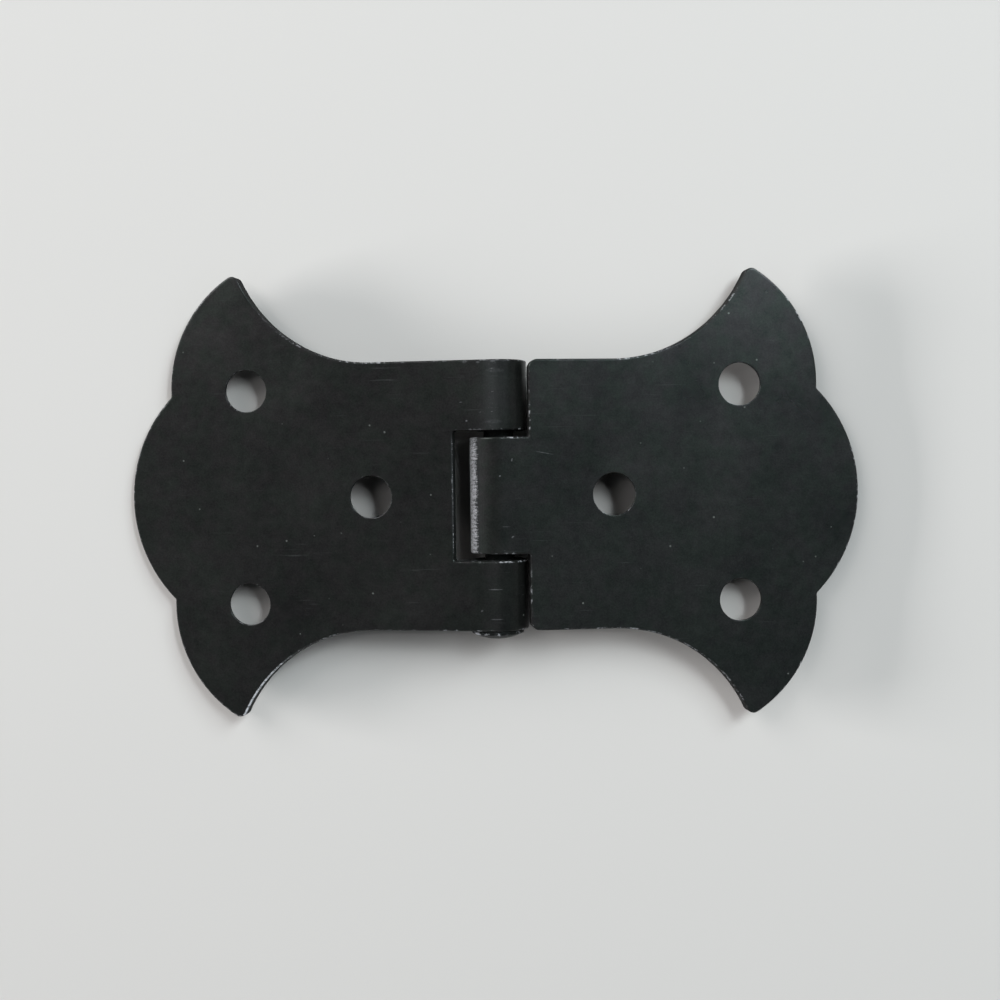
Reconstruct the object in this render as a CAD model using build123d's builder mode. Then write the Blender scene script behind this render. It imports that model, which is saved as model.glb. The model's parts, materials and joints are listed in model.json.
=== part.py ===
from build123d import *
import math
import os

# A butterfly hinge of black steel: two leaves punched from sheet, with their
# knuckles rolled under round one headed pin. It lies as it would on a table,
# flat side up, on its barrel and on the far edge of each leaf.
# Millimetres. X runs across the leaves, Y along the pin, Z up from the table.
# The origin is on the table, under the middle of the whole outline.

# Sheet and pin
sheet = 1.5
pin_d = 3.2
grip_clearance = 0.01      # radial, in the two outer knuckles that hold the pin
running_clearance = 0.04   # radial, in the centre knuckle that turns on it
head_d = 5.7
head_h = 1.15
head_rim = 0.45            # straight edge of the head, below its dome
pin_recess = 0.2           # plain end of the pin, inside the barrel's end
pin_chamfer = 0.3

# Barrel, measured along the pin
barrel_length = 29.0
centre_knuckle = 12.5
knuckle_gap = 0.75         # each side of the centre knuckle
slot_clearance = 1.4       # centre knuckle to the back of its slot
edge_clearance = 0.3       # outer knuckles to the right leaf's edge beside them
roll_mouth = 0.15          # slit between a knuckle's curled end and its own leaf

# Outline of a leaf, measured along its sheet; setbacks run from its far end
left_reach = 40.7          # pin's axis to the far end of the leaf
right_reach = 39.3
flank_setback = 27.25      # end of the straight flank, where the sweep begins
wing_span = 49.1           # across the two wing tips
tip_setback = 12.25
wing_radius = 14.4         # convex back of a wing
notch_span = 22.4          # across the notches between the wings and the lobe
notch_setback = 4.7
tip_round = 0.8
notch_round = 0.35
corner_round = 1.0         # right leaf's corners beside the barrel
slot_round = 0.3           # left leaf's corners inside its slot
edge_break = 0.15          # rim of the flat side, as the punch leaves it

# Screw holes, countersunk from the side with the knuckles
hole_d = 4.6
hole_land = 0.3            # straight wall left at the flat side
sink_angle = 90
outer_hole_setback = 13.3
outer_hole_span = 23.4
inner_hole_setback = 27.15

# What follows from those sizes
grip_bore = pin_d / 2 + grip_clearance
running_bore = pin_d / 2 + running_clearance
left_barrel = grip_bore + sheet
right_barrel = running_bore + sheet
axis_height = max(left_barrel, right_barrel)
slot_length = centre_knuckle + 2 * knuckle_gap
outer_knuckle = (barrel_length - slot_length) / 2
slot_depth = right_barrel + slot_clearance
edge_setback = math.sqrt((left_barrel + edge_clearance) ** 2 - running_bore**2)
sink_r = hole_d / 2 + (sheet - hole_land) * math.tan(math.radians(sink_angle / 2))


def lean(reach, barrel_r):
    """Slope, in radians, at which a leaf's far edge comes down to the table."""
    underside = barrel_r - sheet
    arm = math.hypot(underside, reach)
    return math.acos(-axis_height / arm) - math.atan2(reach, underside)


def half_width(reach, barrel_r):
    """Distance across the table from the pin to the far edge of a leaf's flat side."""
    slope = lean(reach, barrel_r)
    return reach * math.cos(slope) + barrel_r * math.sin(slope)


pin_x = (half_width(left_reach, left_barrel) - half_width(right_reach, right_barrel)) / 2
pin_axis = Axis((pin_x, 0, axis_height), (0, 1, 0))


def leaf_plane(side, slope):
    """Plane through the pin's axis along a leaf: x outwards, z to its flat side."""
    return Plane(
        origin=pin_axis.position,
        x_dir=(side * math.cos(slope), 0, -math.sin(slope)),
        z_dir=(side * math.sin(slope), 0, math.cos(slope)),
    )


def section_plane(leaf):
    """Plane across the pin in a leaf's frame: x outwards, y to its flat side."""
    return Plane(origin=leaf.origin, x_dir=leaf.x_dir, z_dir=-leaf.y_dir)


def blank(reach):
    """Punched outline of a leaf, from the pin's axis outwards."""
    tip = (reach - tip_setback, wing_span / 2)
    notch = (reach - notch_setback, notch_span / 2)
    with BuildSketch() as outline:
        with BuildLine():
            flank = Line((0, barrel_length / 2), (reach - flank_setback, barrel_length / 2))
            TangentArc(flank @ 1, tip, tangent=flank % 1)
            RadiusArc(tip, notch, wing_radius)
            mirror(about=Plane.XZ)
            ThreePointArc(notch, (reach, 0), (notch[0], -notch[1]))
            Line((0, barrel_length / 2), (0, -barrel_length / 2))
        make_face()
        fillet(outline.vertices().group_by(Axis.X)[-1], notch_round)
        fillet(outline.vertices().group_by(Axis.Y)[-1], tip_round)
        fillet(outline.vertices().group_by(Axis.Y)[0], tip_round)
    return outline.sketch


def screw_entries(underside, reach):
    """Where the screws go into a leaf, each pointing out of the side with the knuckles."""
    outer = reach - outer_hole_setback
    inner = reach - inner_hole_setback
    centres = [(outer, outer_hole_span / 2), (outer, -outer_hole_span / 2), (inner, 0)]
    return [(-underside).location * Location((*centre, 0)) for centre in centres]


def curl(bore):
    """Section of a knuckle, rolled from the flat side round and under the pin."""
    outer = bore + sheet
    mouth = math.degrees(math.asin((bore - roll_mouth) / outer))
    with BuildSketch() as section:
        with BuildLine():
            outside = CenterArc((0, 0), outer, 90, 270 + mouth)
            inside = CenterArc((0, 0), bore, 90, 270 + mouth)
            Line(outside @ 0, inside @ 0)
            Line(outside @ 1, inside @ 1)
        make_face()
    return section.sketch


def flat_rim(leaf, flat):
    """Edges round a leaf's flat side, without the seam where its knuckles begin."""
    outwards = Axis(flat.origin, flat.x_dir)
    upwards = Axis(flat.origin, flat.z_dir)
    side = leaf.faces().filter_by(flat).sort_by(upwards)[-1]
    return side.outer_wire().edges().filter_by_position(outwards, edge_break, math.inf)


left_flat = leaf_plane(-1, lean(left_reach, left_barrel))
left_section = section_plane(left_flat)
right_flat = leaf_plane(1, lean(right_reach, right_barrel))
right_section = section_plane(right_flat)

# Left leaf: an outer knuckle at each end, and between them the slot for the
# centre knuckle of the right leaf
with BuildPart() as left_leaf:
    with BuildSketch(left_flat.offset(grip_bore)) as left_blank:
        add(blank(left_reach))
        Rectangle(2 * slot_depth, slot_length, mode=Mode.SUBTRACT)
        fillet(left_blank.vertices().group_by(Axis.X)[1], slot_round)
    extrude(amount=sheet)
    with BuildSketch(
        left_section.offset(slot_length / 2),
        left_section.offset(-barrel_length / 2),
    ):
        add(curl(grip_bore))
    extrude(amount=outer_knuckle)
    chamfer(flat_rim(left_leaf, left_flat), edge_break)
    with Locations(*screw_entries(left_flat.offset(grip_bore), left_reach)):
        CounterSinkHole(hole_d / 2, sink_r, sheet, sink_angle)

# Right leaf: the centre knuckle, and an edge set back from each outer knuckle
with BuildPart() as right_leaf:
    with BuildSketch(right_flat.offset(running_bore)) as right_blank:
        add(blank(right_reach))
        with Locations((0, barrel_length / 2), (0, -barrel_length / 2)):
            Rectangle(
                2 * edge_setback, barrel_length - centre_knuckle, mode=Mode.SUBTRACT
            )
        beside_barrel = right_blank.vertices().group_by(Axis.X)[1].sort_by(Axis.Y)
        fillet([beside_barrel[0], beside_barrel[-1]], corner_round)
    extrude(amount=sheet)
    with BuildSketch(right_section.offset(-centre_knuckle / 2)):
        add(curl(running_bore))
    extrude(amount=centre_knuckle)
    chamfer(flat_rim(right_leaf, right_flat), edge_break)
    with Locations(*screw_entries(right_flat.offset(running_bore), right_reach)):
        CounterSinkHole(hole_d / 2, sink_r, sheet, sink_angle)

# Pin: a domed head at the -Y end, seated on the left leaf's outer knuckle
with BuildPart() as hinge_pin:
    with BuildSketch(Plane(origin=pin_axis.position, x_dir=(1, 0, 0), z_dir=(0, 0, 1))):
        with BuildLine():
            seat = -barrel_length / 2
            end = barrel_length / 2 - pin_recess
            Polyline(
                (0, seat - head_h),
                (0, end),
                (pin_d / 2 - pin_chamfer, end),
                (pin_d / 2, end - pin_chamfer),
                (pin_d / 2, seat),
                (head_d / 2, seat),
                (head_d / 2, seat - head_rim),
            )
            TangentArc((0, seat - head_h), (head_d / 2, seat - head_rim), tangent=(1, 0))
        make_face()
    revolve(axis=pin_axis)

os.makedirs("parts", exist_ok=True)
left_leaf.part.label = "left_leaf"
right_leaf.part.label = "right_leaf"
hinge_pin.part.label = "hinge_pin"
export_step(left_leaf.part, "parts/left_leaf.step")
export_step(right_leaf.part, "parts/right_leaf.step")
export_step(hinge_pin.part, "parts/hinge_pin.step")
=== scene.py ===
import json
import math

import bmesh
import bpy
import numpy as np
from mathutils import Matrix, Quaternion, Vector, noise
from mathutils.geometry import delaunay_2d_cdt
from mathutils.kdtree import KDTree


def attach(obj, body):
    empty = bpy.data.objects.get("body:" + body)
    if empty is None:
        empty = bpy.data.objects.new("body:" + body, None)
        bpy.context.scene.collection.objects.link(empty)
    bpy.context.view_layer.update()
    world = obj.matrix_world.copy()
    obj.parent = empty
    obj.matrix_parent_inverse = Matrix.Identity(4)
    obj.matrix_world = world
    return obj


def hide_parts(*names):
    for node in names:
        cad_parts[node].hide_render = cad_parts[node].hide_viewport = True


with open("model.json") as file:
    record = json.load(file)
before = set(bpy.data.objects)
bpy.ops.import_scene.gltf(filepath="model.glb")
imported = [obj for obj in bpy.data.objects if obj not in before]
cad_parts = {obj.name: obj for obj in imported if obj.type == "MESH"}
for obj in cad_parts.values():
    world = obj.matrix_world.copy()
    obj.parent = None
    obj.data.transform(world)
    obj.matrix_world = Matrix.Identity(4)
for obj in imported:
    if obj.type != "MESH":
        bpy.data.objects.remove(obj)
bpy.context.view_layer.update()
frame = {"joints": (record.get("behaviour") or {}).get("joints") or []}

# A butterfly hinge of black steel, seen flat side up. Each leaf is meshed as
# the flat blank that the real one is punched from, and its tabs are then
# rolled round the pin. Patterns and sizes are in millimetres, and place()
# turns them into the frame's metres. In a pattern, u runs outwards from the
# pin's axis, v along the pin, and h through the sheet, from the side that the
# pin is on to the flat side.
MM = 0.001

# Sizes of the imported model
SHEET = 1.5
PIN_D = 3.2
GRIP_CLEARANCE = 0.01
RUNNING_CLEARANCE = 0.04
HEAD_D = 5.7
HEAD_H = 1.15
HEAD_RIM = 0.45
HEAD_EASE = 0.12           # rounding of the head's edges
HEAD_OFF = -0.3            # how far the head is off the shank's centre
PIN_RECESS = 0.2
PIN_CHAMFER = 0.3
PIN_EASE = 0.03            # softening of the chamfer's edges
PIN_CORNER = 0.05          # rings beside an edge, which keep it crisp
PIN_DISH = 0.8             # radius within which the plain end is slightly dished
BARREL_LENGTH = 29.0
CENTRE_KNUCKLE = 12.5
KNUCKLE_GAP = 0.75
SLOT_CLEARANCE = 1.4
EDGE_CLEARANCE = 0.3
ROLL_MOUTH = 0.15
LEFT_REACH = 40.7
RIGHT_REACH = 39.3
FLANK_SETBACK = 27.25
WING_SPAN = 49.1
TIP_SETBACK = 12.25
WING_RADIUS = 14.4
NOTCH_SPAN = 22.4
NOTCH_SETBACK = 4.7
TIP_ROUND = 0.8
NOTCH_ROUND = 0.35
CORNER_ROUND = 1.0
SLOT_ROUND = 0.3
TAB_ROUND = 0.2            # inner corners, where the right leaf's tab begins
END_ROUND = 0.35           # corners of a tab's free end, inside the roll
HOLE_D = 4.6
HOLE_LAND = 0.3            # straight wall, above a right-angled countersink
OUTER_HOLE_SETBACK = 13.3
OUTER_HOLE_SPAN = 23.4
INNER_HOLE_SETBACK = 27.15

# What the punch leaves: a rolled rim on the flat side, then a burnished band,
# and below it a rougher break that stands a little proud
ROLL_IN = 0.2              # how far in from the edge the rim starts to fall
ROLL_DOWN = 0.15
HOLE_ROLL = 0.08
BURNISH_DROP = 0.1         # depth below the rim by which its wear has faded
BREAK_START = 0.85         # heights in the sheet at which the break starts,
BREAK_MIDDLE = 0.6         # is nearly out,
BREAK_END = 0.3            # and is all the way out
BREAK_OUT = 0.03
UNDER_TOP = 0.1            # heights of the soft corner on the pin's side
UNDER_MIDDLE = 0.03
UNDER_RIM = 0.05           # and its width
SINK_EASE = 0.03           # softening of a countersink's two edges
BREAK_GRAIN = 0.014        # unevenness of the break
GRAIN_ALONG = 2.2          # its pitch along the edge and down it, per millimetre
GRAIN_DOWN = 1.5
GRAIN_FINER = 2.7          # how many times finer the second grain is, and its share
GRAIN_FINER_SHARE = 0.6
GRAIN_FADE = 0.4           # depth below the rim over which it sets in
GRAIN_APART = 20           # keeps the grain of the two leaves different

# Wear of the rings of a rolled rim: least, and what is added halfway round it
RIM_WEAR_LEAST = 0.2
RIM_WEAR = 0.8

# Rub: 0 is black, and 1 or more is bare; the same scale carries painted highlights.
# The slot's edge rubs a band on the centre knuckle, which starts, is full, fades and
# ends at these degrees round its roll. The outer knuckles carry a painted highlight
# along their crowns, the one at +v more; the slot's back edge and a wing's rim carry one too.
BAND_START = 40
BAND_FULL = 64
BAND_FADE = 84
BAND_END = 104
BAND_RUB = 0.97
CROWN_HIGHLIGHT_AT = 0.2             # middle of the crowns' painted highlight, outwards from the pin's axis
CROWN_HIGHLIGHT_WIDTH = 1.0
CROWN_HIGHLIGHT_UPPER = 0.3
CROWN_HIGHLIGHT_LOWER = 0.05
SLOT_EDGE_HIGHLIGHT = 0.5            # painted highlight on the slot's back edge
WING_RIM_HIGHLIGHT = 1.1            # painted highlight along the rim of the left leaf's lower wing
WING_START = 1             # distance from the barrel's end at which it may start
WING_FULL = 3              # and from the wing's tip at which it is full

# States of the black, each an attribute of the meshes: chipped at a rim, rubbed
# (which also carries the painted highlights), cut by the punch, dulled, and scored
# by slanting scratches
BLACK_STATES = ("worn", "rub_and_highlight", "cut", "dulled", "scored")
SCORED_FROM = 2            # scratches of the right leaf set in by here from the pin
SCORED_TO = 12             # and have faded out by here
STRETCHED = 0.9            # roll over which the outer knuckles turn dull
CUT_START = 0.05           # height in the sheet by which its side looks cut
CUT_END = 0.02             # depth in the rolled rim by which that look has gone
UNDER_DULL = 1.0           # dullness of the pin's side
HEAD_HIGHLIGHTS = ((140, 9), (87, 3))    # painted highlights on the head's rim: degrees round the head, and width
HEAD_HIGHLIGHT_LEVEL = 1.5
HEAD_HIGHLIGHT_IN = 0.5         # how far in from the head's rim they set in
HEAD_HIGHLIGHT_UP = (0.1, 0.4)  # and over which heights above its seat

# Scratches, knocks and rubbed bands on and beside the knuckles: place on the
# table, length, width, degrees that they are turned by, and how bare they are.
# Each is a long egg round that place, which marks the surfaces that it reaches.
MARKS_HEIGHT = 6.2         # of their middles above the table
MARKS_DEPTH = 1.5          # how far they reach up and down from there
MARKS_CORE = 0.6           # share of its size within which a mark is at its strongest
MARKS = (
    (0.3, -10.0, 1.7, 0.13, 0, 0.1),
    (0.4, -13.2, 1.5, 0.13, 0, 0.08),
    (-1.2, -12.3, 0.35, 0.25, 40, 0.06),
    (-2.6, 8.0, 0.3, 0.25, 30, 0.12),
    (-1.1, 8.9, 0.25, 0.2, 60, 0.06),
    (-3.2, 10.0, 0.35, 0.13, 10, 0.1),
    (2.2, 3.8, 0.4, 0.2, 80, 0.14),
    (0.9, 2.1, 0.25, 0.2, 60, 0.14),
    (2.2, -4.4, 0.4, 0.18, 35, 0.14),
    (1.5, -3.3, 1.0, 0.1, 0, 0.05),
    (5.7, 4.5, 2.3, 0.1, -11, 0.09),
    (0.5, 13.3, 2.2, 0.5, 0, 0.018),
    (0.4, 12.7, 2.0, 0.15, 0, 0.012),
    (0.3, 7.9, 2.1, 0.5, 0, 0.018),
    (-2.7, 14.3, 0.6, 0.4, 10, 0.07),
    (-1.3, 14.2, 0.45, 0.25, 0, 0.07),
    (0.3, 14.3, 0.7, 0.3, 0, 0.08),
)

# Mesh steps
EDGE_STEP = 0.22
FLAT_STEP = 0.32
UNDER_STEP = 0.55
RIM_STEPS = 5
RIM_INSET = 0.08           # how far a rim's first and last rings lie in the flat faces
EDGE_ROOM = 0.6            # least room between edge and grid, in steps of the grid
SAME_POINT = 1e-6          # of the flat pattern, in millimetres
SAME_VERTEX = 1e-7         # of the rolled mesh, in metres
SLACK = 0.01               # for a height that is compared with a ring's own
PIN_SIDES = 72
DOME_STEPS = 14
SHANK_STEPS = 8

PIN_AT = Vector(frame["joints"][0]["pos_m"]) / MM


class Leaf:
    """Sizes and place of one leaf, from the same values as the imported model."""

    def __init__(self, side, reach, clearance):
        self.side = side
        self.reach = reach
        self.bore = PIN_D / 2 + clearance
        self.barrel = self.bore + SHEET
        arm = math.hypot(self.bore, reach)
        self.slope = math.acos(-PIN_AT.z / arm) - math.atan2(reach, self.bore)
        mouth = math.asin((self.bore - ROLL_MOUTH) / self.barrel)
        self.roll = (1.5 * math.pi + mouth) * self.barrel
        self.out = Vector((side * math.cos(self.slope), 0, -math.sin(self.slope)))
        self.up = Vector((side * math.sin(self.slope), 0, math.cos(self.slope)))

    def place(self, u, v, h):
        """Point of the blank, in metres in the frame, after its tabs are rolled."""
        if u >= 0:
            along, above = u, self.bore + h
        else:
            turn = -u / self.barrel
            along = -(self.bore + h) * math.sin(turn)
            above = (self.bore + h) * math.cos(turn)
        return (PIN_AT + self.out * along + self.up * above + Vector((0, v, 0))) * MM


LEFT = Leaf(-1, LEFT_REACH, GRIP_CLEARANCE)
RIGHT = Leaf(1, RIGHT_REACH, RUNNING_CLEARANCE)


def arc(centre, start, end, turn, step=EDGE_STEP):
    """Points from start to end about a centre, anticlockwise where turn is 1."""
    a = math.atan2(start.y - centre.y, start.x - centre.x)
    b = math.atan2(end.y - centre.y, end.x - centre.x)
    sweep = (b - a) * turn % (2 * math.pi)
    radius = (start - centre).length
    count = max(4, math.ceil(sweep * radius / step))
    angles = [a + turn * sweep * i / count for i in range(count + 1)]
    return [centre + radius * Vector((math.cos(t), math.sin(t))) for t in angles]


def crossing(a, a_radius, b, b_radius, near):
    """The point where two circles cross that is nearer to a given point."""
    apart = b - a
    along = (apart.length_squared + a_radius**2 - b_radius**2) / (2 * apart.length)
    height = math.sqrt(a_radius**2 - along**2)
    foot = a + apart.normalized() * along
    across = apart.orthogonal().normalized() * height
    return min((foot + across, foot - across), key=lambda p: (p - near).length)


def winged_edge(leaf):
    """Upper half of the punched edge: lobe, notch, wing, tip and swept flank."""
    reach = leaf.reach
    half = BARREL_LENGTH / 2
    tip = Vector((reach - TIP_SETBACK, WING_SPAN / 2))
    notch = Vector((reach - NOTCH_SETBACK, NOTCH_SPAN / 2))
    lobe_radius = (notch.y**2 + NOTCH_SETBACK**2) / (2 * NOTCH_SETBACK)
    lobe = Vector((reach - lobe_radius, 0))
    wing = crossing(tip, WING_RADIUS, notch, WING_RADIUS, Vector((0, 0)))
    run = Vector((FLANK_SETBACK - TIP_SETBACK, tip.y - half))
    sweep_radius = run.length_squared / (2 * run.y)
    sweep = Vector((reach - FLANK_SETBACK, half + sweep_radius))

    in_notch = crossing(lobe, lobe_radius + NOTCH_ROUND, wing, WING_RADIUS + NOTCH_ROUND, notch)
    in_tip = crossing(sweep, sweep_radius + TIP_ROUND, wing, WING_RADIUS - TIP_ROUND, tip)
    lobe_end = lobe + (in_notch - lobe).normalized() * lobe_radius
    wing_start = wing + (in_notch - wing).normalized() * WING_RADIUS
    wing_end = wing + (in_tip - wing).normalized() * WING_RADIUS
    sweep_start = sweep + (in_tip - sweep).normalized() * sweep_radius

    edge = arc(lobe, Vector((reach, 0)), lobe_end, 1)
    edge += arc(in_notch, lobe_end, wing_start, -1)[1:]
    edge += arc(wing, wing_start, wing_end, 1)[1:]
    edge += arc(in_tip, wing_end, sweep_start, 1)[1:]
    edge += arc(sweep, sweep_start, Vector((sweep.x, half)), -1)[1:]
    return edge


def barrel_corners(leaf):
    """Corners of the barrel's side of a blank, from +v to 0, with their rounding."""
    half = BARREL_LENGTH / 2
    if leaf is LEFT:
        slot = CENTRE_KNUCKLE / 2 + KNUCKLE_GAP
        depth = RIGHT.barrel + SLOT_CLEARANCE
        return [
            (Vector((-leaf.roll, half)), END_ROUND),
            (Vector((-leaf.roll, slot)), END_ROUND),
            (Vector((depth, slot)), SLOT_ROUND),
            (Vector((depth, 0)), 0),
        ]
    setback = math.sqrt((LEFT.barrel + EDGE_CLEARANCE) ** 2 - leaf.bore**2)
    return [
        (Vector((setback, half)), CORNER_ROUND),
        (Vector((setback, CENTRE_KNUCKLE / 2)), TAB_ROUND),
        (Vector((-leaf.roll, CENTRE_KNUCKLE / 2)), END_ROUND),
        (Vector((-leaf.roll, 0)), 0),
    ]


def straight(start, end):
    """Points from start to end, evenly spaced, with both ends."""
    count = max(1, round((end - start).length / EDGE_STEP))
    return [start.lerp(end, i / count) for i in range(count + 1)]


def rounded(start, corners):
    """Points from start round square corners of given radii, to the last of them."""
    points = [start]
    for (corner, radius), following in zip(corners, corners[1:] + [None]):
        if following is None:
            points += straight(points[-1], corner)[1:]
            continue
        back = (points[-1] - corner).normalized() * radius
        ahead = (following[0] - corner).normalized() * radius
        points += straight(points[-1], corner + back)[1:]
        turn = 1 if back.cross(ahead) < 0 else -1
        middle = corner + back + ahead
        points += arc(middle, corner + back, corner + ahead, turn, EDGE_STEP / 2)[1:]
    return points


def blank_edges(leaf):
    """Closed edges of a blank: the outline anticlockwise, then its holes clockwise."""
    upper = winged_edge(leaf)
    upper += rounded(upper[-1], barrel_corners(leaf))[1:]
    lower = [Vector((p.x, -p.y)) for p in reversed(upper[1:-1])]
    edges = [upper + lower]
    outer = leaf.reach - OUTER_HOLE_SETBACK
    inner = leaf.reach - INNER_HOLE_SETBACK
    count = round(math.pi * HOLE_D / EDGE_STEP)
    for u, v in ((outer, OUTER_HOLE_SPAN / 2), (outer, -OUTER_HOLE_SPAN / 2), (inner, 0)):
        turns = [-2 * math.pi * i / count for i in range(count)]
        edges.append([
            Vector((u + HOLE_D / 2 * math.cos(t), v + HOLE_D / 2 * math.sin(t))) for t in turns
        ])
    return edges


def edge_normals(edge):
    """Unit directions from each point of a closed edge into the sheet."""
    points = np.array(edge)
    ahead = np.roll(points, -1, axis=0) - points
    ahead /= np.linalg.norm(ahead, axis=1)[:, None]
    both = ahead + np.roll(ahead, 1, axis=0)
    both /= np.linalg.norm(both, axis=1)[:, None]
    return np.stack([-both[:, 1], both[:, 0]], axis=1)


def rolled_rim(roll_in, roll_down):
    """Inset, height and wear of each ring down a rounded rim of the flat side."""
    rings = [(roll_in + RIM_INSET, SHEET, 0.0)]
    for i in range(RIM_STEPS + 1):
        t = math.pi / 2 * i / RIM_STEPS
        inset = roll_in * (1 - math.sin(t))
        height = SHEET - roll_down * (1 - math.cos(t))
        wear = math.sin(2 * t) ** 2 * RIM_WEAR + RIM_WEAR_LEAST * (i > 0)
        rings.append((inset, height, wear))
    return rings


def edge_profile():
    """The same for a punched edge, from the flat side to the pin's side."""
    return rolled_rim(ROLL_IN, ROLL_DOWN) + [
        (0, SHEET - ROLL_DOWN - BURNISH_DROP, 0.2),
        (0, BREAK_START, 0.15),
        (-BREAK_OUT * 0.7, BREAK_MIDDLE, 0.1),
        (-BREAK_OUT, BREAK_END, 0.1),
        (-BREAK_OUT, UNDER_TOP, 0.15),
        (-BREAK_OUT * 0.4, UNDER_MIDDLE, 0.25),
        (UNDER_RIM, 0, 0.15),
        (UNDER_RIM + RIM_INSET, 0, 0.0),
    ]


def hole_profile():
    """The same for a screw hole: a short straight land, then the countersink."""
    sink = SHEET - HOLE_LAND
    return rolled_rim(HOLE_ROLL, HOLE_ROLL) + [
        (0, sink + SINK_EASE, 0.1),
        (SINK_EASE, sink - SINK_EASE, 0.2),
        (sink / 3, sink * 2 / 3, 0.0),
        (sink * 2 / 3, sink / 3, 0.0),
        (sink - SINK_EASE, SINK_EASE, 0.2),
        (sink + SINK_EASE, 0, 0.2),
        (sink + SINK_EASE + RIM_INSET, 0, 0.0),
    ]


def inside(points, edges):
    """Which of the points lie in the sheet, within the outline and outside its holes."""
    found = np.zeros(len(points), bool)
    for edge in edges:
        for a, b in zip(edge, np.roll(edge, -1, axis=0)):
            if a[1] == b[1]:
                continue
            level = (points[:, 1] >= min(a[1], b[1])) & (points[:, 1] < max(a[1], b[1]))
            at = a[0] + (points[:, 1] - a[1]) * (b[0] - a[0]) / (b[1] - a[1])
            found ^= level & (points[:, 0] < at)
    return found


def fill(edges, step):
    """Triangles of the sheet between closed edges, with a grid of points inside."""
    low, high = np.min(edges[0], axis=0), np.max(edges[0], axis=0)
    us = np.arange(math.ceil(low[0] / step), high[0] / step) * step
    vs = np.arange(math.ceil(low[1] / step), high[1] / step) * step
    grid = np.stack(np.meshgrid(us, vs), axis=-1).reshape(-1, 2)
    grid = grid[inside(grid, edges)]
    border = [p for edge in edges for p in edge]
    tree = KDTree(len(border))
    for i, p in enumerate(border):
        tree.insert((p[0], p[1], 0), i)
    tree.balance()
    room = EDGE_ROOM * min(step, 2 * EDGE_STEP)
    kept = [p for p in grid if tree.find((p[0], p[1], 0))[2] > room]
    links = []
    start = 0
    for edge in edges:
        count = len(edge)
        links += [(start + i, start + (i + 1) % count) for i in range(count)]
        start += count
    points = [Vector((p[0], p[1])) for p in border + kept]
    corners, _, faces, _, _, _ = delaunay_2d_cdt(points, links, [], 0, SAME_POINT)
    flat = np.array([(p.x, p.y) for p in corners])
    middles = np.array([flat[list(face)].mean(axis=0) for face in faces])
    return flat, [face for face, there in zip(faces, inside(middles, edges)) if there]


def break_grain(leaf, u, v, h):
    """Unevenness of a punched edge, in millimetres outwards: none on its rolled rim."""
    depth = max(0, min(1, (SHEET - ROLL_DOWN - h) / GRAIN_FADE))
    at = Vector((u * GRAIN_ALONG, v * GRAIN_ALONG, h * GRAIN_DOWN + GRAIN_APART * leaf.side))
    finer = GRAIN_FINER_SHARE * noise.noise(at * GRAIN_FINER)
    return depth * BREAK_GRAIN * (noise.noise(at) + finer)


def ramp(value, low, high):
    """Smooth step from 0 at low to 1 at high."""
    t = max(0.0, min(1.0, (value - low) / (high - low)))
    return t * t * (3 - 2 * t)


def rubbing_and_highlights(leaf, u, v, h):
    """How far the black is rubbed off the centre knuckle, and the painted highlights on the outer
    crowns, the slot's edge and a wing's rim.
    """
    depth = RIGHT.barrel + SLOT_CLEARANCE
    rim = SHEET - ROLL_DOWN
    # A painted highlight along the rim of the left leaf's lower wing
    on_wing = v < -BARREL_LENGTH / 2 - WING_START and u < leaf.reach - TIP_SETBACK
    if leaf is LEFT and on_wing and rim - SLACK < h < SHEET:
        return WING_RIM_HIGHLIGHT * ramp(-v, BARREL_LENGTH / 2, WING_SPAN / 2 - WING_FULL)
    if h < rim or u > depth + ROLL_IN:
        return 0.0
    turn = math.degrees(-u / leaf.barrel)
    if leaf is RIGHT:
        band = ramp(turn, BAND_START, BAND_FULL) * (1 - ramp(turn, BAND_FADE, BAND_END))
        return BAND_RUB * band
    # A painted highlight on the slot's back edge
    if u > depth - ROLL_IN and abs(v) < CENTRE_KNUCKLE / 2:
        return SLOT_EDGE_HIGHLIGHT * ramp(SHEET - h, 0.0, ROLL_DOWN / 2)
    # A painted highlight along the crowns of the outer knuckles, stronger at +v
    crown_highlight = math.exp(-(((u - CROWN_HIGHLIGHT_AT) / CROWN_HIGHLIGHT_WIDTH) ** 2))
    return crown_highlight * (CROWN_HIGHLIGHT_UPPER if v > 0 else CROWN_HIGHLIGHT_LOWER)


def dulling(leaf, u, h):
    """How dull the black is: on the pin's side, and where outer knuckles are stretched."""
    if h <= 0:
        return UNDER_DULL
    if leaf is RIGHT or h < SHEET - ROLL_DOWN:
        return 0.0
    return ramp(-u, 0.0, STRETCHED)


def scoring(leaf, u):
    """How much the slanting scratches show, on the right leaf beside its knuckle."""
    if leaf is LEFT:
        return 0.0
    return ramp(u, 0, SCORED_FROM) * (1 - ramp(u, SCORED_TO / 2, SCORED_TO))


def cutting(h):
    """1 on the cut sides of the sheet, and 0 on its faces and the rolled rim."""
    return ramp(h, 0.0, CUT_START) * (1 - ramp(h, SHEET - ROLL_DOWN, SHEET - CUT_END))


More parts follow.
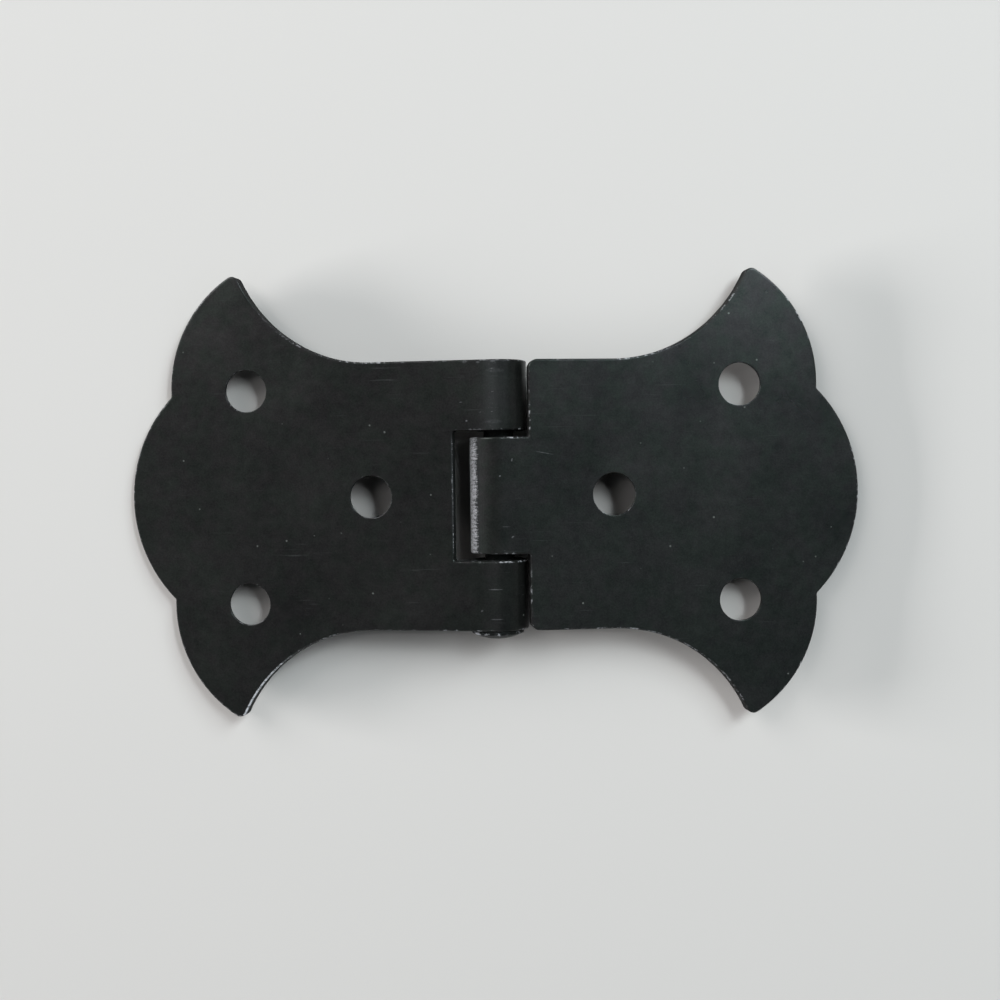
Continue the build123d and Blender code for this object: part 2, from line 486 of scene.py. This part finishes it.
def leaf_mesh(name, leaf):
    """One leaf as a closed mesh, with the states of its black in attributes."""
    edges = [(np.array(edge), edge_normals(edge)) for edge in blank_edges(leaf)]
    profiles = [edge_profile()] + [hole_profile()] * (len(edges) - 1)
    mesh = bmesh.new()
    layers = [mesh.verts.layers.float.new(key) for key in BLACK_STATES]
    worn, rub_and_highlight, cut, dulled, scored = layers

    def vertex(u, v, h, wear):
        made = mesh.verts.new(leaf.place(u, v, h))
        made[worn] = wear
        made[rub_and_highlight] = rubbing_and_highlights(leaf, u, v, h)
        made[cut] = cutting(h)
        made[dulled] = dulling(leaf, u, h)
        made[scored] = scoring(leaf, u)
        return made

    for (edge, into), profile in zip(edges, profiles):
        before = None
        for inset, height, wear in profile:
            ring = []
            for p, n in zip(edge, into):
                out = break_grain(leaf, p[0], p[1], height)
                q = p + n * (inset - out)
                ring.append(vertex(q[0], q[1], height, wear))
            if before:
                for i in range(len(ring)):
                    mesh.faces.new((before[i - 1], before[i], ring[i], ring[i - 1]))
            before = ring
    for ring, step in ((0, FLAT_STEP), (-1, UNDER_STEP)):
        inner = []
        for (edge, into), profile in zip(edges, profiles):
            inset, height, _ = profile[ring]
            grain = np.array([break_grain(leaf, p[0], p[1], height) for p in edge])
            inner.append(edge + into * (inset - grain)[:, None])
        flat, faces = fill(inner, step)
        made = [vertex(p[0], p[1], height, 0.0) for p in flat]
        for face in faces:
            mesh.faces.new([made[i] for i in face])
    bmesh.ops.remove_doubles(mesh, verts=mesh.verts, dist=SAME_VERTEX)
    loose = [v for v in mesh.verts if not v.link_faces]
    bmesh.ops.delete(mesh, geom=loose, context="VERTS")
    return closed_piece(name, mesh)


def closed_piece(name, mesh):
    """A new smooth object from a closed mesh, with its faces turned outwards."""
    bmesh.ops.recalc_face_normals(mesh, faces=mesh.faces)
    for face in mesh.faces:
        face.smooth = True
    return piece(name, mesh)


def piece(name, mesh):
    """A new object from a finished mesh."""
    data = bpy.data.meshes.new(name)
    mesh.to_mesh(data)
    mesh.free()
    made = bpy.data.objects.new(name, data)
    bpy.context.scene.collection.objects.link(made)
    return made


def pin_profile():
    """Radius, place along the pin and wear of its rings, from the head to the plain end."""
    seat = -BARREL_LENGTH / 2
    end = BARREL_LENGTH / 2 - PIN_RECESS
    shank = PIN_D / 2
    rim = HEAD_D / 2
    dome = HEAD_H - HEAD_RIM
    dome_radius = (rim**2 + dome**2) / (2 * dome)
    rise = math.asin((rim - HEAD_EASE) / dome_radius)
    rings = []
    for i in range(DOME_STEPS + 1):
        t = rise * i / DOME_STEPS
        back = dome_radius * (1 - math.cos(t))
        wear = 0.0 if i < DOME_STEPS else 0.6
        rings.append((dome_radius * math.sin(t), seat - HEAD_H + back, wear))
    low = rings[-1][1]
    rings += [
        (rim - HEAD_EASE * 0.35, low + HEAD_EASE * 0.45, 1.0),
        (rim, low + HEAD_EASE * 1.3, 0.6),
        (rim, seat - HEAD_EASE, 0.4),
        (rim - HEAD_EASE * 0.3, seat - HEAD_EASE * 0.3, 0.5),
        (rim - HEAD_EASE, seat, 0.2),
        (shank + PIN_CORNER, seat, 0.0),
        (shank, seat + PIN_CORNER, 0.0),
    ]
    for i in range(1, SHANK_STEPS):
        rings.append((shank, seat + (end - seat) * i / SHANK_STEPS, 0.0))
    rings += [
        (shank, end - PIN_CHAMFER - PIN_CORNER, 0.2),
        (shank - PIN_EASE, end - PIN_CHAMFER + PIN_EASE, 0.8),
        (shank - PIN_CHAMFER + PIN_EASE, end - PIN_EASE, 0.8),
        (shank - PIN_CHAMFER - PIN_CORNER, end, 0.3),
        (PIN_DISH, end - PIN_EASE, 0.1),
        (0.0, end - 2 * PIN_EASE, 0.1),
    ]
    return rings


def pin_mesh(name):
    """The pin: chamfered end, shank, and a domed head that sits a little off centre, with two painted
    highlights on its rim.
    """
    seat = -BARREL_LENGTH / 2
    rim = HEAD_D / 2
    mesh = bmesh.new()
    worn = mesh.verts.layers.float.new("worn")
    rub_and_highlight = mesh.verts.layers.float.new("rub_and_highlight")
    before = None
    for radius, y, wear in pin_profile():
        in_head = y < seat or (y == seat and radius > PIN_D / 2 + 2 * PIN_CORNER)
        off = HEAD_OFF * in_head
        at_rim = ramp(radius, rim - HEAD_HIGHLIGHT_IN, rim - HEAD_EASE) * ramp(seat - y, *HEAD_HIGHLIGHT_UP)
        if radius == 0:
            ring = [mesh.verts.new((PIN_AT + Vector((off, y, 0))) * MM)] * PIN_SIDES
            ring[0][worn] = wear
        else:
            ring = []
            for i in range(PIN_SIDES):
                t = 2 * math.pi * i / PIN_SIDES
                at = PIN_AT + Vector((radius * math.cos(t), y, radius * math.sin(t)))
                at.x += off
                made = mesh.verts.new(at * MM)
                made[worn] = wear
                # Two painted highlights on the head's rim, laid on through the rub attribute
                highlights = [(math.degrees(t) - turn) / width for turn, width in HEAD_HIGHLIGHTS]
                nearest = max(math.exp(-(x**2)) for x in highlights)
                made[rub_and_highlight] = HEAD_HIGHLIGHT_LEVEL * at_rim * nearest
                ring.append(made)
        if before:
            for i in range(PIN_SIDES):
                corners = []
                for v in (before[i - 1], before[i], ring[i], ring[i - 1]):
                    if v not in corners:
                        corners.append(v)
                mesh.faces.new(corners)
        before = ring
    return closed_piece(name, mesh)


# Materials


class Nodes:
    """Short ways to build a node tree."""

    def __init__(self, tree):
        self.tree = tree
        tree.nodes.clear()

    def add(self, kind, inputs=(), **settings):
        node = self.tree.nodes.new(kind)
        for key, value in settings.items():
            setattr(node, key, value)
        for key, value in dict(inputs).items():
            if isinstance(value, bpy.types.NodeSocket):
                self.tree.links.new(value, node.inputs[key])
            else:
                node.inputs[key].default_value = value
        return node

    def noise(self, at, scale, detail=2.0, rough=0.5):
        """Noise from about 0.2 to 0.8, at a scale in cells per metre."""
        inputs = {"Vector": at, "Scale": scale, "Detail": detail, "Roughness": rough}
        return self.add("ShaderNodeTexNoise", inputs).outputs["Fac"]

    def span(self, value, low, high, to_low=0.0, to_high=1.0):
        """A value that runs from low to high, laid on to_low to to_high and kept there."""
        inputs = {"Value": value, "From Min": low, "From Max": high}
        inputs.update({"To Min": to_low, "To Max": to_high})
        return self.add("ShaderNodeMapRange", inputs, clamp=True).outputs["Result"]

    def maths(self, operation, a, b=0.0):
        return self.add("ShaderNodeMath", {0: a, 1: b}, operation=operation).outputs[0]

    def times(self, a, b):
        return self.maths("MULTIPLY", a, b)

    def mix(self, factor, a, b):
        inputs = {"Factor": factor, "A": a, "B": b}
        node = self.add("ShaderNodeMix", data_type="RGBA")
        for key, value in inputs.items():
            socket = next(s for s in node.inputs if s.name == key and s.enabled)
            if isinstance(value, bpy.types.NodeSocket):
                self.tree.links.new(value, socket)
            else:
                socket.default_value = value
        return next(s for s in node.outputs if s.enabled)

    def shown(self):
        """1 for what is seen directly, mirrored or through glass, and 0 for the rest."""
        path = self.add("ShaderNodeLightPath").outputs
        seen = self.maths("MAXIMUM", path["Is Camera Ray"], path["Is Glossy Ray"])
        return self.maths("MAXIMUM", seen, path["Is Transmission Ray"])

    def stretched(self, at, turn, scale):
        """Coordinates turned about the upright axis, with a scale for each axis."""
        inputs = {"Vector": at, "Rotation": (0, 0, turn), "Scale": scale}
        return self.add("ShaderNodeMapping", inputs).outputs["Vector"]

    def mark(self, at, x, y, length, width, turn):
        """1 within a long spot on top of the knuckles, and 0 outside it."""
        inputs = {
            "Vector": at,
            "Location": (x * MM, y * MM, MARKS_HEIGHT * MM),
            "Rotation": (0, 0, math.radians(turn)),
            "Scale": (length / 2 * MM, width / 2 * MM, MARKS_DEPTH * MM),
        }
        placed = self.add("ShaderNodeMapping", inputs, vector_type="TEXTURE").outputs["Vector"]
        away = self.add("ShaderNodeVectorMath", {0: placed}, operation="LENGTH").outputs["Value"]
        return self.span(away, 1.0, MARKS_CORE)


# Colours of what lies on the black or shows through it. The rubbed grey and the
# steel also paint highlights on crowns, rims and the pin head
HAIR = (0.16, 0.17, 0.17, 1)
DUST = (0.2, 0.21, 0.2, 1)
RUB_AND_HIGHLIGHT_GREY = (0.19, 0.2, 0.21, 1)
BARE_STEEL_AND_HIGHLIGHT = (0.92, 0.92, 0.98, 1)
GREEN_GLINT = (0.86, 1.0, 0.95, 1)
PINK_GLINT = (1.0, 0.96, 1.03, 1)

# How strongly each of them is laid on
HAIR_AMOUNT = 0.18
DUST_AMOUNT = 0.6
RUB_AND_HIGHLIGHT_AMOUNT = 0.3
CHIP_AMOUNT = 0.5
RUB_AND_HIGHLIGHT_BARENESS = 0.9

# Patterns, in cells per metre: clouds, mottling and grain make the tone of the black
# and its relief, patches hold hairlines, stretches of the rims hold chips
CLOUDY_SCALE = 130.0
MOTTLED_SCALE = 900.0
GRAIN_SCALE = 5200.0
PATCH_SCALE = 210.0
STRETCH_SCALE = 170.0
CHIP_SCALE = 1900.0
HUE_SCALE = 420.0
DUST_SCALE = 620.0
STRETCH_TURN = 0.4         # turns that pattern away from the grain's

# Shares of the clouds, the mottling and the grain in the tone of the black
CLOUDY_SHARE = 0.35
MOTTLED_SHARE = 0.25
GRAIN_SHARE = 0.4

# Patterns as strokes: turn, and cells per metre along, across and down
LONG_HAIRS = 0.35, (90.0, 5200.0, 900.0)
CROSS_HAIRS = -1.1, (110.0, 6100.0, 900.0)
SLANT_HAIRS = 0.1, (70.0, 6800.0, 900.0)
RUB_STROKES = 0.0, (420.0, 5600.0, 420.0)
RUB_NICKS = 0.5, (1300.0, 5600.0, 1300.0)
FRAY = 1.5                 # how much the strokes and the grain fray the rubbed places
SPECKLE = 2.2

# Gloss where the black is dull or cut, and roughness that bareness and cuts add
DULL_GLOSS = 0.4
BARE_ROUGH = 0.12
CUT_ROUGH = 0.45
BARE_METALLIC = 0.25

# Relief: its height in metres, its strength, and what the clouds and the strokes of
# the rubbed places add to the grain's
RELIEF = 0.00003
RELIEF_STRENGTH = 0.25
CLOUDY_RELIEF = 4.0
STROKE_RELIEF = 1.5


def black_steel(name, dark, pale, smooth, rougher, gloss):
    """Satin black on steel: mottled, scuffed, dusty, worn through at its rims, and with painted
    highlights on some rims and crowns.
    """
    material = bpy.data.materials.new(name)
    material.use_nodes = True
    n = Nodes(material.node_tree)
    at = n.add("ShaderNodeTexCoord").outputs["Object"]
    worn, rub_and_highlight, cut, dulled, scored = (
        n.add("ShaderNodeAttribute", attribute_name=key).outputs["Fac"] for key in BLACK_STATES
    )

    cloudy = n.noise(at, CLOUDY_SCALE, 3.0)
    mottled = n.noise(at, MOTTLED_SCALE, 4.0, 0.6)
    grain = n.noise(at, GRAIN_SCALE, 3.0, 0.7)
    tone = n.maths("ADD", n.times(cloudy, CLOUDY_SHARE), n.times(mottled, MOTTLED_SHARE))
    tone = n.maths("ADD", tone, n.times(grain, GRAIN_SHARE))
    colour = n.mix(n.span(tone, 0.35, 0.65), dark, pale)

    # Hairline scratches, in two directions and only in patches, and slanting ones
    # beside the right leaf's knuckle
    patches = n.span(n.noise(at, PATCH_SCALE, 2.0), 0.46, 0.62)
    long_way = n.noise(n.stretched(at, *LONG_HAIRS), 1.0, 2.0)
    cross_way = n.noise(n.stretched(at, *CROSS_HAIRS), 1.0, 2.0)
    hairs = n.maths("MAXIMUM", n.span(long_way, 0.70, 0.76), n.span(cross_way, 0.72, 0.78))
    slant = n.noise(n.stretched(at, *SLANT_HAIRS), 1.0, 2.0)
    slant = n.times(n.span(slant, 0.68, 0.78), scored)
    hairs = n.maths("MAXIMUM", n.times(hairs, patches), slant)
    colour = n.mix(n.times(hairs, HAIR_AMOUNT), colour, HAIR)

    # Dust specks, in the middle of a few cells
    inputs = {"Vector": at, "Scale": DUST_SCALE, "Randomness": 1.0}
    cells = n.add("ShaderNodeTexVoronoi", inputs).outputs
    chosen = n.add("ShaderNodeSeparateColor", {"Color": cells["Color"]}).outputs["Red"]
    specks = n.times(n.span(cells["Distance"], 0.08, 0.045), n.span(chosen, 0.8, 0.82))
    colour = n.mix(n.times(specks, DUST_AMOUNT), colour, DUST)

    # Bare steel: in chips along some stretches of the rims, in fine strokes round
    # the knuckles where they are rubbed, and in the marks, with ragged edges. The same
    # pale steel paints highlights where the rub attribute carries them, on crowns, rims and the pin
    # head
    turned = n.stretched(at, STRETCH_TURN, (1, 1, 1))
    stretches = n.span(n.noise(turned, STRETCH_SCALE, 2.0), 0.44, 0.6)
    chips = n.times(n.span(n.noise(at, CHIP_SCALE, 3.0, 0.65), 0.52, 0.62), stretches)
    strokes = n.noise(n.stretched(at, *RUB_STROKES), 1.0, 3.0, 0.75)
    fray = n.times(n.maths("SUBTRACT", strokes, 0.5), FRAY)
    speckle = n.times(n.times(n.maths("SUBTRACT", grain, 0.5), SPECKLE), rub_and_highlight)
    rubs_and_highlights = n.maths("ADD", rub_and_highlight, n.maths("ADD", fray, speckle))
    nicks = n.noise(n.stretched(at, *RUB_NICKS), 1.0, 2.0, 0.6)
    rubs_and_highlights = n.times(n.span(rubs_and_highlights, 0.5, 1.0), n.span(nicks, 0.5, 0.62, 1.0, 0.4))
    chipped = n.times(n.times(worn, chips), CHIP_AMOUNT)
    bare_and_highlights = n.maths("MAXIMUM", chipped, n.times(rubs_and_highlights, RUB_AND_HIGHLIGHT_BARENESS))
    ragged = n.span(grain, 0.35, 0.55, 0.4, 1.0)
    for x, y, length, width, turn, bareness in MARKS:
        marked = n.times(n.mark(at, x, y, length, width, turn), bareness)
        bare_and_highlights = n.maths("MAXIMUM", bare_and_highlights, n.times(marked, ragged))
    # Greyer where rubbed, and where painted highlights lie on the crowns, rims and pin head
    colour = n.mix(n.times(rub_and_highlight, RUB_AND_HIGHLIGHT_AMOUNT), colour, RUB_AND_HIGHLIGHT_GREY)
    colour = n.mix(bare_and_highlights, colour, BARE_STEEL_AND_HIGHLIGHT)

    # Gloss and its tint vary finely, and roughness with the clouds
    fine = n.maths("ADD", n.times(mottled, 0.5), n.times(grain, 0.5))
    gloss = n.times(gloss, n.span(fine, 0.3, 0.7, 0.75, 1.25))
    dull = n.maths("MAXIMUM", dulled, cut)
    gloss = n.times(gloss, n.span(dull, 0.0, 1.0, 1.0, DULL_GLOSS))
    hues = n.span(n.noise(at, HUE_SCALE, 3.0, 0.6), 0.4, 0.6)
    tint = n.mix(hues, GREEN_GLINT, PINK_GLINT)
    rough = n.span(cloudy, 0.3, 0.7, smooth, rougher)
    rough = n.maths("ADD", rough, n.times(bare_and_highlights, BARE_ROUGH))
    rough = n.maths("ADD", rough, n.times(cut, CUT_ROUGH))
    height = n.maths("ADD", grain, n.times(cloudy, CLOUDY_RELIEF))
    height = n.maths("ADD", height, n.times(strokes, n.times(rub_and_highlight, STROKE_RELIEF)))
    inputs = {"Height": height, "Strength": RELIEF_STRENGTH, "Distance": RELIEF}
    bump = n.add("ShaderNodeBump", inputs)
    shader = n.add(
        "ShaderNodeBsdfPrincipled",
        {
            "Base Color": colour,
            "Roughness": rough,
            "Metallic": n.times(bare_and_highlights, BARE_METALLIC),
            "Specular IOR Level": gloss,
            "Specular Tint": tint,
            "Normal": bump.outputs["Normal"],
        },
    )
    n.add("ShaderNodeOutputMaterial", {"Surface": shader.outputs["BSDF"]})
    return material


# Darkest and palest black, with the range of roughness and the gloss
LEAF_TONES = (0.0030, 0.0033, 0.0034, 1), (0.0122, 0.0126, 0.0117, 1)
PIN_TONES = (0.0034, 0.0037, 0.0036, 1), (0.0076, 0.0081, 0.0079, 1)
leaf_black = black_steel("leaf_black", *LEAF_TONES, smooth=0.27, rougher=0.33, gloss=0.5)
pin_black = black_steel("pin_black", *PIN_TONES, smooth=0.5, rougher=0.6, gloss=0.2)

for node_name, leaf, body in (("left_leaf", LEFT, "left"), ("right_leaf", RIGHT, "right")):
    made = leaf_mesh(node_name + "_sheet", leaf)
    made.data.materials.append(leaf_black)
    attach(made, body)
    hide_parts(node_name)

pin = pin_mesh("pin_turned")
pin.data.materials.append(pin_black)
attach(pin, "left")
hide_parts("hinge_pin")

# Floor: lit near the object, and seen at a level pale tone further off
FLOOR_SIZE = 8.0
FLOOR_CELLS = 8
FLOOR_NEAR = (0.585, 0.568, 0.562, 1)
FLOOR_ROUGH = 0.8
FLOOR_GLOSS = 0.15
FLOOR_FAR = (1.0, 0.995, 0.98, 1)
FLOOR_FAR_LEVEL = 0.6
FLOOR_FADE = (0.16, 0.5)   # distances at which the far tone sets in, and is full
floor_mesh = bmesh.new()
bmesh.ops.create_grid(floor_mesh, x_segments=FLOOR_CELLS, y_segments=FLOOR_CELLS, size=FLOOR_SIZE / 2)
floor = piece("floor", floor_mesh)
floor_material = bpy.data.materials.new("floor_pale")
floor_material.use_nodes = True
n = Nodes(floor_material.node_tree)
at = n.add("ShaderNodeTexCoord").outputs["Object"]
inputs = {"Base Color": FLOOR_NEAR, "Roughness": FLOOR_ROUGH, "Specular IOR Level": FLOOR_GLOSS}
near = n.add("ShaderNodeBsdfPrincipled", inputs).outputs["BSDF"]
inputs = {"Color": FLOOR_FAR, "Strength": FLOOR_FAR_LEVEL}
far = n.add("ShaderNodeEmission", inputs).outputs["Emission"]
away = n.add("ShaderNodeVectorMath", {0: at}, operation="LENGTH").outputs["Value"]
share = n.times(n.span(away, *FLOOR_FADE), n.shown())
laid = n.add("ShaderNodeMixShader", {0: share, 1: near, 2: far})
n.add("ShaderNodeOutputMaterial", {"Surface": laid.outputs["Shader"]})
floor.data.materials.append(floor_material)

# World. What is seen and mirrored is pale at the horizon, brighter above it on the
# left than on the right, and dim overhead, where the right half is cooler.
# A rise or a side is a range of the upward or sideways part of a direction.
SEEN_HORIZON = 0.6
SEEN_LEFT = 0.68
SEEN_RIGHT = 0.34
SEEN_OVERHEAD = 0.21
SEEN_WARM = (1.0, 0.995, 0.98, 1)
SEEN_COOL = (0.78, 1.0, 1.0, 1)
HORIZON_RISE = (0.0, 0.3)
SIDES = (-0.7, 0.7)
OVERHEAD_RISE = (0.35, 0.8)
COOL_SIDE = (0.0, 0.35)
COOL_RISE = (0.5, 0.8)

# The light that the world gives comes from both sides of a dark strip overhead
STRIP_AT = 0.08            # middle of the strip, as its slant to the right
STRIP_EDGE = (0.35, 0.7)   # slants from the middle between which the light sets in
LEAST_UP = 0.05            # keeps the slant finite at the horizon
GIVEN_RISE = (0.1, 0.5)
GIVEN_LOW = 0.1
GIVEN_HIGH = 0.32
GIVEN_COLOUR = (0.92, 0.98, 1.0, 1)
world = bpy.data.worlds.new("studio")
bpy.context.scene.world = world
world.use_nodes = True
n = Nodes(world.node_tree)
facing = n.add("ShaderNodeTexCoord").outputs["Generated"]
directions = n.add("ShaderNodeSeparateXYZ", {"Vector": facing}).outputs
up = directions["Z"]
aside = directions["X"]
low = n.span(up, *HORIZON_RISE, SEEN_HORIZON, n.span(aside, *SIDES, SEEN_LEFT, SEEN_RIGHT))
seen = n.span(up, *OVERHEAD_RISE, low, SEEN_OVERHEAD)
shown = n.shown()
slant = n.maths("DIVIDE", aside, n.maths("MAXIMUM", up, LEAST_UP))
slant = n.maths("ABSOLUTE", n.maths("SUBTRACT", slant, STRIP_AT))
given = n.times(n.span(slant, *STRIP_EDGE), n.span(up, *GIVEN_RISE, GIVEN_LOW, GIVEN_HIGH))
level = n.maths("ADD", n.times(seen, shown), n.times(given, n.maths("SUBTRACT", 1.0, shown)))
cool = n.times(n.span(aside, *COOL_SIDE), n.span(up, *COOL_RISE))
colour = n.mix(cool, SEEN_WARM, SEEN_COOL)
colour = n.mix(shown, GIVEN_COLOUR, colour)
sky = n.add("ShaderNodeBackground", {"Color": colour, "Strength": level})
n.add("ShaderNodeOutputWorld", {"Surface": sky.outputs["Background"]})


def panel(name, at, size, power, colour):
    """A soft rectangular light at a place, in metres, turned to the object."""
    light = bpy.data.lights.new(name, "AREA")
    light.shape = "RECTANGLE"
    light.size, light.size_y = size
    light.energy = power
    light.color = colour
    lamp = bpy.data.objects.new(name, light)
    lamp.location = at
    lamp.rotation_mode = "QUATERNION"
    lamp.rotation_quaternion = (-Vector(at)).to_track_quat("-Z", "Y")
    bpy.context.scene.collection.objects.link(lamp)
    return lamp


WINDOW_COLOUR = (0.88, 0.99, 1.0)
HIGH_COLOUR = (0.94, 0.99, 1.0)
LOW_COLOUR = (1.0, 0.99, 0.97)
FILL_COLOUR = (1.0, 0.98, 0.96)
STRAIGHT_DOWN = (1, 0, 0, 0)

panel("window", at=(0.38, 0.36, 0.52), size=(0.22, 0.4), power=2.8, colour=WINDOW_COLOUR)
panel("left_fill", at=(-0.42, 0.36, 0.36), size=(0.36, 0.4), power=1.85, colour=FILL_COLOUR)

# A narrow light high on the right faces straight down, and isn't mirrored in the black
high_fill = panel("high_fill", at=(0.29, 0.226, 0.56), size=(0.07, 0.3), power=1.35, colour=HIGH_COLOUR)
high_fill.rotation_quaternion = STRAIGHT_DOWN
high_fill.visible_glossy = False

# A low light from the left is given to the floor alone, for the long soft shadows there.
# A weak one from high on that side softens the shade in the screw holes.
low_light = panel("low_light", at=(-1.2, 0.0, 0.18), size=(0.6, 0.16), power=30.0, colour=LOW_COLOUR)
hole_fill = panel("hole_fill", at=(-0.3, 0.1, 0.55), size=(0.06, 0.2), power=0.25, colour=FILL_COLOUR)
floor_only = bpy.data.collections.new("floor_only")
floor_only.objects.link(floor)
for lamp in (low_light, hole_fill):
    lamp.visible_glossy = False
    lamp.visible_camera = False
    lamp.light_linking.receiver_collection = floor_only

# Camera, where the photograph was taken from: nearly straight above the object
LENS = 39.6
SENSOR = 36.0
CLIP_START = 0.01
CAMERA_AT = Vector((3.73, 3.45, 123.0))
CAMERA_TURN = Vector((-0.0335, 0.0242, -0.0128))    # axis, as long as its angle in radians
camera = bpy.data.objects.new("camera", bpy.data.cameras.new("camera"))
camera.data.lens = LENS
camera.data.sensor_width = SENSOR
camera.data.clip_start = CLIP_START
camera.location = CAMERA_AT * MM
camera.rotation_mode = "QUATERNION"
camera.rotation_quaternion = Quaternion(CAMERA_TURN.normalized(), CAMERA_TURN.length)
bpy.context.scene.collection.objects.link(camera)
bpy.context.scene.camera = camera
bpy.context.scene.view_settings.view_transform = "Standard"
